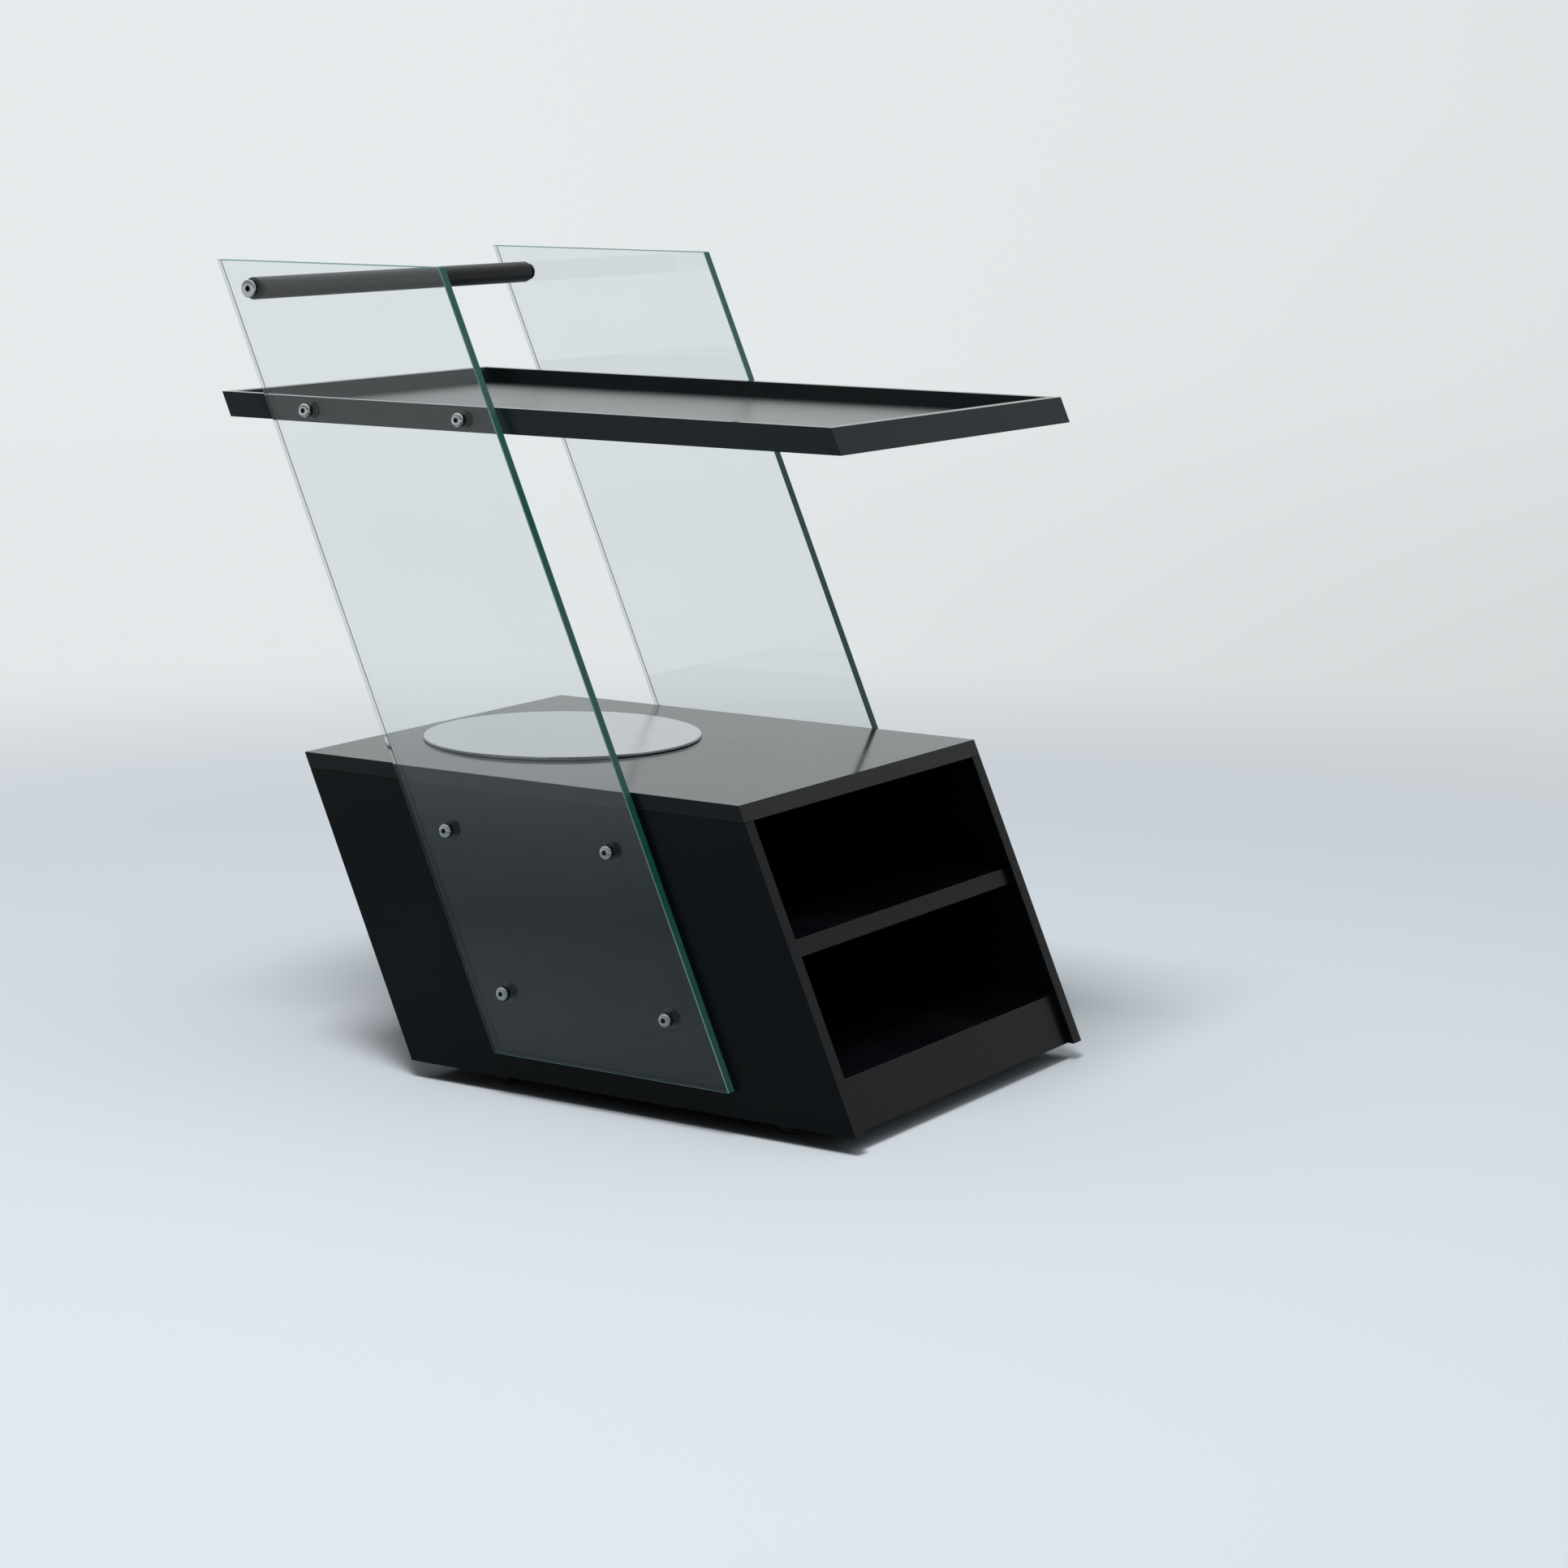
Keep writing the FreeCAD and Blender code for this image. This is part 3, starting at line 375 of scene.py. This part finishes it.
def makeLevelGroup(start):
    # 1 on faces that look up, 0 on upright ones
    group, given, result = startGroup("levelFaces", [("Reach", "NodeSocketFloat", 0.9)], "Level")
    normal = addNode(group, "ShaderNodeTexCoord").outputs["Normal"]
    upward = addNode(group, "ShaderNodeSeparateXYZ", {0: normal}).outputs["Z"]
    group.links.new(remap(group, upward, start, given["Reach"], 0, 1), result)
    return group


sprayGroup = makeSprayGroup(sprayLook)
wipeGroup = makeWipeGroup(wipeLook)
brushGroup = makeBrushGroup(brushDetail)
levelGroup = makeLevelGroup(levelStart)


# finishes

def startFinish(name, **plain):
    material = bpy.data.materials.new(name)
    material.use_nodes = True
    shader = material.node_tree.nodes["Principled BSDF"]
    for socketName, value in plain.items():
        shader.inputs[socketName.replace("_", " ")].default_value = value
    return material, material.node_tree, shader.inputs


def addBump(tree, inputs, height, strength, distance):
    sockets = {"Strength": strength, "Distance": distance, "Height": height}
    tree.links.new(addNode(tree, "ShaderNodeBump", sockets).outputs[0], inputs["Normal"])


boardLook = {
    "colour": (0.0014, 0.0020, 0.0030, 1),
    "dulled": (0.0030, 0.0036, 0.0046, 1),
    "upright": (0.27, 0.36),         # roughness where clean and where dulled
}
trayFloorLook = {
    "colour": (0.014, 0.018, 0.019, 1),
    "dulled": (0.017, 0.021, 0.022, 1),
    "upright": (0.3, 0.34),
}
trayLook = {
    "colour": (0.0100, 0.0155, 0.0170, 1),
    "dulled": (0.0120, 0.0175, 0.0190, 1),
    "upright": (0.24, 0.28),
}
lacquerWaves = {"scale": 340.0, "strength": 0.05, "depth": 0.00008}  # depth in m
levelReach = 0.9                     # a face that looks up this far is wholly level


def lacquer(name, look, level, ior, **plain):
    # level is the roughness of the faces that look up, where clean and where dulled
    material, tree, inputs = startFinish(name, IOR=ior, **plain)
    marks = useGroup(tree, wipeGroup, Scale=1.0)
    tree.links.new(mixColour(tree, marks, look["colour"], look["dulled"]), inputs["Base Color"])
    isLevel = useGroup(tree, levelGroup, Reach=levelReach)
    clean = remap(tree, isLevel, 0, 1, look["upright"][0], level[0])
    dulled = remap(tree, isLevel, 0, 1, look["upright"][1], level[1])
    tree.links.new(remap(tree, marks, 0, 1, clean, dulled), inputs["Roughness"])
    waves = useGroup(tree, sprayGroup, Scale=lacquerWaves["scale"])
    addBump(tree, inputs, waves, lacquerWaves["strength"], lacquerWaves["depth"])
    return material


glassLook = {
    "tint": (0.895, 0.925, 0.925, 1),
    "ior": 1.52,
    "marks": 1.6,                    # how much finer the wipe marks are than on the boards
    "markLevel": 0.985,              # level of the tint under them
    "shadow": 0.12,                  # how solid a pane is to light, so that its shadow stays faint
}
edgeLook = {                         # the cut edges, ground matt
    "ior": 1.38,
    "colour": (0.010, 0.082, 0.064, 1),
    "pale": (0.032, 0.098, 0.084, 1),
    "fromInside": 0.16,              # how much of it shows through the pane itself
}
arrisLook = {                        # the narrow bevel along each cut edge
    "ior": 1.38,
    "colour": (0.112, 0.21, 0.189, 1),
    "pale": (0.16, 0.30, 0.27, 1),
    "fromInside": 0.9,
}
groundLook = {
    "insideColour": (0.022, 0.034, 0.032, 1),
    "clouds": 6.0,                   # per m, where dark turns to pale
    "cloudRange": (0.4, 0.6),
    "detail": 2.0,
    "grit": 1800.0,                  # per m
    "gritRange": (0.3, 0.7),
    "roughness": (0.3, 0.46),
    "strength": 0.15,
    "depth": 0.0001,                 # m
}


def clearGlass(look):
    plain = {"IOR": look["ior"], "Transmission_Weight": 1.0, "Roughness": 0.0}
    material, tree, inputs = startFinish("clearGlass", **plain)
    marks = useGroup(tree, wipeGroup, Scale=look["marks"])
    dimmed = shade(look["tint"], look["markLevel"])
    tree.links.new(mixColour(tree, marks, look["tint"], dimmed), inputs["Base Color"])
    lighting = rayShare(tree, "Is Shadow Ray", "Is Diffuse Ray")
    passing = calculate(tree, "ADD", lighting, mirrorShare(tree), clamp=True)
    tree.links.new(remap(tree, passing, 0, 1, 1, look["shadow"]), inputs["Alpha"])
    return material


def groundEdge(name, look, ground):
    # cut glass, seen through its own green depth
    material, tree, inputs = startFinish(name, IOR=look["ior"])
    place = objectPlace(tree)
    clouds = noise(tree, place, ground["clouds"], ground["detail"])
    paleShare = remap(tree, clouds, *ground["cloudRange"], 0, 1)
    outside = mixColour(tree, paleShare, look["colour"], look["pale"])
    inside = addNode(tree, "ShaderNodeNewGeometry").outputs["Backfacing"]
    tree.links.new(mixColour(tree, inside, outside, ground["insideColour"]), inputs["Base Color"])
    grit = noise(tree, place, ground["grit"], ground["detail"])
    tree.links.new(remap(tree, grit, *ground["gritRange"], *ground["roughness"]), inputs["Roughness"])
    addBump(tree, inputs, grit, ground["strength"], ground["depth"])
    tree.links.new(remap(tree, inside, 0, 1, 1, look["fromInside"]), inputs["Alpha"])
    return material


metalLines = {
    "dark": 0.84,                    # level of the colour in the lines
    "range": (0.3, 0.7),
    "spread": (0.8, 1.2),            # of the roughness
    "strength": 0.08,
    "depth": 0.0002,                 # m
}
mouldedGrain = {
    "level": (0.88, 1.1),            # of the colour
    "range": (0.3, 0.7),
    "spread": (0.85, 1.15),          # of the roughness
    "strength": 0.1,
    "depth": 0.0002,                 # m
}
beechLook = {
    "dark": (0.52, 0.33, 0.18, 1),
    "pale": (0.70, 0.50, 0.31, 1),
    "grain": (30.0, 30.0, 30.0),
    "range": (0.3, 0.7),
    "roughness": (0.5, 0.65),
}


def spreadRoughness(tree, inputs, pattern, look, roughness):
    low, high = (roughness * factor for factor in look["spread"])
    tree.links.new(remap(tree, pattern, *look["range"], low, high), inputs["Roughness"])


def brushedMetal(name, colour, roughness, scale, look=metalLines):
    material, tree, inputs = startFinish(name, Metallic=1.0)
    lines = useGroup(tree, brushGroup, Scale=scale)
    dark, pale = shade(colour, look["dark"]), shade(colour, 1)
    tree.links.new(mixColour(tree, lines, dark, pale), inputs["Base Color"])
    spreadRoughness(tree, inputs, lines, look, roughness)
    addBump(tree, inputs, lines, look["strength"], look["depth"])
    return material


def moulded(name, colour, roughness, scale=900.0, look=mouldedGrain, **plain):
    material, tree, inputs = startFinish(name, **plain)
    grain = useGroup(tree, sprayGroup, Scale=scale)
    dark, pale = (shade(colour, factor) for factor in look["level"])
    tree.links.new(mixColour(tree, grain, dark, pale), inputs["Base Color"])
    spreadRoughness(tree, inputs, grain, look, roughness)
    addBump(tree, inputs, grain, look["strength"], look["depth"])
    return material


def beech(look):
    material, tree, inputs = startFinish("beech")
    lines = useGroup(tree, brushGroup, Scale=look["grain"])
    tree.links.new(mixColour(tree, lines, look["dark"], look["pale"]), inputs["Base Color"])
    tree.links.new(remap(tree, lines, *look["range"], *look["roughness"]), inputs["Roughness"])
    return material


turnedLines = (40.0, 900.0, 40.0)
finishes = {
    "topLacquer": lacquer("topLacquer", boardLook, (0.09, 0.17), 1.40),
    "trayLacquer": lacquer("trayLacquer", trayLook, (0.06, 0.12), 1.27),
    "trayFloorLacquer": lacquer("trayFloorLacquer", trayFloorLook, (0.36, 0.38), 1.6,
                                Coat_Weight=0.7, Coat_Roughness=0.3, Coat_IOR=1.5),
    "boardLacquer": lacquer("boardLacquer", boardLook, (0.2, 0.3), 1.29),
    "clearGlass": clearGlass(glassLook),
    "groundEdge": groundEdge("groundEdge", edgeLook, groundLook),
    "groundArris": groundEdge("groundArris", arrisLook, groundLook),
    "boltSteel": brushedMetal("boltSteel", (0.66, 0.67, 0.67), 0.13, (700.0, 60.0, 700.0)),
    # darker steel for the handle washers; inside the screw sockets it is painted shade
    "darkSteelAndSocketShade": brushedMetal("darkSteelAndSocketShade", (0.075, 0.078, 0.08), 0.3, turnedLines),
    "discSteel": brushedMetal("discSteel", (0.62, 0.64, 0.655), 0.17, (30.0, 500.0, 30.0)),
    "barEnamel": moulded("barEnamel", (0.007, 0.0075, 0.0085), 0.34, 1500.0, IOR=1.34),
    "turnedAluminium": brushedMetal("turnedAluminium", (0.75, 0.75, 0.76), 0.3, turnedLines),
    "insertBrass": brushedMetal("insertBrass", (0.72, 0.53, 0.24), 0.28, turnedLines),
    "clearNylon": moulded("clearNylon", (0.80, 0.84, 0.84), 0.12, 500.0,
                          Transmission_Weight=1.0, IOR=1.34),
    "blackNylon": moulded("blackNylon", (0.012, 0.012, 0.013), 0.45),
    "ringRubber": moulded("ringRubber", (0.012, 0.012, 0.012), 0.8),
    "tyreRubber": moulded("tyreRubber", (0.022, 0.022, 0.024), 0.7),
    "zincPlate": brushedMetal("zincPlate", (0.56, 0.57, 0.58), 0.34, (60.0, 60.0, 300.0)),
    "beech": beech(beechLook),
}

slotFinish = {
    "black_lacquer": "boardLacquer",
    "clear_glass": "clearGlass",
    "stainless_steel": "boltSteel",
    "polished_steel": "discSteel",
    "black_enamel": "barEnamel",
    "turned_aluminium": "turnedAluminium",
    "brass": "insertBrass",
    "clear_nylon": "clearNylon",
    "black_nylon": "blackNylon",
    "black_rubber": "ringRubber",
    "grey_tyre": "tyreRubber",
    "zinc_plate": "zincPlate",
    "beech": "beech",
}
ownFinish = {  # of single nodes, whatever their slot
    "top_panel": "topLacquer",
    "tray_floor": "trayFloorLacquer",
    "handle_washers": "darkSteelAndSocketShade",
}
for trayPart in ("right_wall", "left_wall", "rear_wall", "front_wall"):
    ownFinish["tray_" + trayPart] = "trayLacquer"

for part in frame["record"]["subparts"]:
    finish = ownFinish.get(part["node"], slotFinish[part["material_slot"]])
    nodes[part["node"]].material_slots[0].material = finishes[finish]
print("finishes given")


# helpers for new pieces

weldDistance = 1e-6  # m
sharpAngle = 35      # degrees, from where an edge stays sharp in a smooth piece


def meshCopy(node):
    bm = bmesh.new()
    bm.from_mesh(nodes[node].data)
    bmesh.ops.remove_doubles(bm, verts=bm.verts[:], dist=weldDistance)
    return bm


def solidBoxes(node):
    # the lowest and highest corner of each separate solid in a node
    bm = meshCopy(node)
    boxes = []
    for start in bm.verts:
        if start.tag:
            continue
        start.tag = True
        solid = [start]
        for vert in solid:
            for edge in vert.link_edges:
                other = edge.other_vert(vert)
                if not other.tag:
                    other.tag = True
                    solid.append(other)
        low = Vector([min(vert.co[axis] for vert in solid) for axis in range(3)])
        high = Vector([max(vert.co[axis] for vert in solid) for axis in range(3)])
        boxes.append((low, high))
    bm.free()
    return boxes


def finishPiece(bm, name, looks, body, slotName, *replaced, smooth=True):
    mesh = bpy.data.meshes.new(name)
    bm.to_mesh(mesh)
    bm.free()
    for look in looks:
        mesh.materials.append(finishes[look])
    piece = bpy.data.objects.new(name, mesh)
    bpy.context.scene.collection.objects.link(piece)
    if smooth:
        mesh.shade_smooth()
        mesh.set_sharp_from_angle(angle=math.radians(sharpAngle))
    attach(piece, body)
    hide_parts(*replaced)


# glass panels

paneFaces = {"edge": 0.1, "arris": 0.9}  # how far a face looks sideways, at most


def glassPanel(side, look):
    node = side + "_glass_panel"
    bm = meshCopy(node)
    for face in bm.faces:
        across = abs(face.normal.y)
        if across < look["edge"]:
            face.material_index = 1  # cut edges and hole walls
        elif across < look["arris"]:
            face.material_index = 2  # the narrow bevel along each cut edge
    looks = ("clearGlass", "groundEdge", "groundArris")
    finishPiece(bm, side + "_glass", looks, "root", "clear_glass", node, smooth=False)


for side in ("right", "left"):
    glassPanel(side, paneFaces)
print("glass panels made")


# bolts and screws

boltHead = {
    "segments": 48,
    "land": 0.0012,      # upright rim under the dome
    "domeSteps": 7,
    "flatShare": 0.56,   # of the head's radius
    "socket": 0.0055,    # across flats
    "socketDepth": 0.0028,
    "shankRadius": 0.0039,
}
barScrewHead = {
    "segments": 48,
    "land": 0.0014,
    "domeSteps": 4,
    "flatShare": 0.88,
    "socket": 0.0065,
    "socketDepth": 0.0034,
    "shankRadius": 0.0039,
}
screwCuts = {
    "socketChamfer": 0.0004,     # wider across flats at the mouth
    "chamferDepth": 0.0002,
    "drillShare": 0.25,          # of the socket, where its floor turns into a cone
    "drillDepth": 0.0004,
    "tipLength": 0.0006,
    "tipShare": 0.85,            # of the shank's radius
}


def ringStep(bm, edges, radius, height):
    # pulls a new ring of faces off an open ring of edges
    grown = bmesh.ops.extrude_edge_only(bm, edges=edges)["geom"]
    for item in grown:
        if isinstance(item, bmesh.types.BMVert):
            around = Vector((item.co.x, item.co.y)).normalized()
            item.co = (around.x * radius, around.y * radius, height)
    return [item for item in grown if isinstance(item, bmesh.types.BMEdge)]


def hexagonStep(bm, edges, acrossFlats, height):
    rim = ringStep(bm, edges, 1.0, height)  # a unit ring, drawn in to the hexagon
    for vert in {vert for edge in rim for vert in edge.verts}:
        angle = math.atan2(vert.co.y, vert.co.x) % (math.pi / 3) - math.pi / 6  # from a flat's middle
        reach = acrossFlats / 2 / math.cos(angle)
        vert.co.x *= reach
        vert.co.y *= reach
    return rim


def addScrew(bm, look, cuts, radius, height, length, place, outward):
    # modelled with its head up, seated at the origin, then turned to face outwards
    start = len(bm.verts)
    verts = bmesh.ops.create_circle(bm, segments=look["segments"], radius=radius)["verts"]
    rim = list(dict.fromkeys(edge for vert in verts for edge in vert.link_edges))
    upper = ringStep(bm, rim, radius, look["land"])
    flat = radius * look["flatShare"]
    for step in range(1, look["domeSteps"] + 1):
        angle = math.pi / 2 * step / look["domeSteps"]
        ring = flat + (radius - flat) * math.cos(angle)
        upper = ringStep(bm, upper, ring, look["land"] + (height - look["land"]) * math.sin(angle))
    upper = hexagonStep(bm, upper, look["socket"] + cuts["socketChamfer"], height)
    upper = hexagonStep(bm, upper, look["socket"], height - cuts["chamferDepth"])
    outside = len(bm.faces)
    bottom = height - look["socketDepth"]
    upper = hexagonStep(bm, upper, look["socket"], bottom)
    upper = ringStep(bm, upper, look["socket"] * cuts["drillShare"], bottom - cuts["drillDepth"])
    bmesh.ops.edgeloop_fill(bm, edges=upper)
    bm.faces.ensure_lookup_table()
    for face in bm.faces[outside:]:
        face.material_index = 1  # painted shade inside the socket
    lower = ringStep(bm, rim, look["shankRadius"], 0.0)
    lower = ringStep(bm, lower, look["shankRadius"], cuts["tipLength"] - length)
    lower = ringStep(bm, lower, look["shankRadius"] * cuts["tipShare"], -length)
    bmesh.ops.edgeloop_fill(bm, edges=lower)
    bm.verts.ensure_lookup_table()
    turn = Vector((0, 0, 1)).rotation_difference(Vector((0, outward, 0))).to_matrix().to_4x4()
    bmesh.ops.transform(bm, matrix=Matrix.Translation(place) @ turn, verts=bm.verts[start:])


def makeScrews(node, look, name):
    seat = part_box("glass_bushings")[1].y
    bm = bmesh.new()
    for low, high in solidBoxes(node):
        outward = 1 if low.y > 0 else -1
        crown = max(abs(low.y), abs(high.y))
        tip = min(abs(low.y), abs(high.y))
        place = Vector(((low.x + high.x) / 2, seat * outward, (low.z + high.z) / 2))
        radius = (high.x - low.x) / 2
        addScrew(bm, look, screwCuts, radius, crown - seat, seat - tip, place, outward)
    bmesh.ops.recalc_face_normals(bm, faces=bm.faces[:])
    finishPiece(bm, name, ["boltSteel", "darkSteelAndSocketShade"], "root", "stainless_steel", node)


makeScrews("panel_bolts", boltHead, "glass_bolts")
makeScrews("handle_screws", barScrewHead, "bar_screws")
print("bolts and screws made")


# caster wheels

tyreLook = {
    "inner": 0.01305,            # radius where it sits on the hub
    "steps": 72,
    "bead": 0.0012,              # chamfer beside the hub
    "shoulder": 0.003,           # rounding of the tread's edges
    "shoulderSteps": 4,
    "groove": 0.0026,            # from the middle of the tread, on both sides
    "grooveWidth": 0.0007,
    "grooveDepth": 0.0006,
}
hubLook = {
    "bore": 0.00306,             # radius
    "steps": 72,
    "bossHalf": 0.0093,          # half of its length along the axle, as for web, rim and spokes
    "bossRadius": 0.006,
    "webHalf": 0.004,
    "rimInner": 0.0105,          # radius
    "rimHalf": 0.0085,
    "outer": 0.013,              # radius
    "chamfer": 0.0004,
    "spokes": 6,
    "spokeThick": 0.0014,
    "spokeHalf": 0.0074,
    "spokeSink": 0.0003,         # into the boss and the rim
}


def spinRing(bm, halfProfile, steps):
    # half a section as (along the axle, radius) pairs, mirrored and spun round the axle
    profile = halfProfile + [(-along, radius) for along, radius in reversed(halfProfile)]
    verts = [bm.verts.new((along, 0, radius)) for along, radius in profile]
    edges = [bm.edges.new(pair) for pair in zip(verts, verts[1:] + verts[:1])]
    bmesh.ops.spin(bm, geom=verts + edges, cent=(0, 0, 0), dvec=(0, 0, 0), axis=(1, 0, 0),
                   angle=math.tau, steps=steps, use_merge=True)


def makeTyre(corner, look, centre, half, tread):
    bm = bmesh.new()
    section = [(half - look["bead"], look["inner"]), (half, look["inner"] + look["bead"])]
    for step in range(look["shoulderSteps"] + 1):
        angle = math.pi / 2 * step / look["shoulderSteps"]
        along = half - look["shoulder"] * (1 - math.cos(angle))
        section.append((along, tread - look["shoulder"] * (1 - math.sin(angle))))
    outer, inner = (look["groove"] + side * look["grooveWidth"] / 2 for side in (1, -1))
    floor = tread - look["grooveDepth"]
    section += [(outer, tread), (outer, floor), (inner, floor), (inner, tread)]
    spinRing(bm, section, look["steps"])
    bmesh.ops.recalc_face_normals(bm, faces=bm.faces[:])
    bmesh.ops.translate(bm, vec=centre, verts=bm.verts[:])
    finishPiece(bm, corner + "_tyre", ["tyreRubber"], f"caster_{corner}_wheel", "grey_tyre",
                f"caster_{corner}_tyre")


def makeHub(corner, look, centre):
    bm = bmesh.new()
    cut = look["chamfer"]
    section = [
        (look["bossHalf"], look["bore"]),
        (look["bossHalf"], look["bossRadius"] - cut),
        (look["bossHalf"] - cut, look["bossRadius"]),
        (look["webHalf"], look["bossRadius"]),
        (look["webHalf"], look["rimInner"]),
        (look["rimHalf"] - cut, look["rimInner"]),
        (look["rimHalf"], look["rimInner"] + cut),
        (look["rimHalf"], look["outer"]),
    ]
    spinRing(bm, section, look["steps"])
    reach = look["rimInner"] - look["bossRadius"] + 2 * look["spokeSink"]
    middle = (look["rimInner"] + look["bossRadius"]) / 2
    spoke = Matrix.Diagonal((look["spokeHalf"] * 2, look["spokeThick"], reach, 1))
    for index in range(look["spokes"]):
        turn = Matrix.Rotation(math.tau * index / look["spokes"], 4, "X")
        bmesh.ops.create_cube(bm, size=1, matrix=turn @ Matrix.Translation((0, 0, middle)) @ spoke)
    bmesh.ops.recalc_face_normals(bm, faces=bm.faces[:])
    bmesh.ops.translate(bm, vec=centre, verts=bm.verts[:])
    finishPiece(bm, corner + "_hub", ["blackNylon"], f"caster_{corner}_wheel", "black_nylon",
                f"caster_{corner}_hub")


for corner in ("rear_right", "rear_left", "front_right", "front_left"):
    low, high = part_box(f"caster_{corner}_tyre")
    centre = (low + high) / 2
    makeTyre(corner, tyreLook, centre, (high.x - low.x) / 2, (high.z - low.z) / 2)
    makeHub(corner, hubLook, centre)
print("caster wheels made")


low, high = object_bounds()
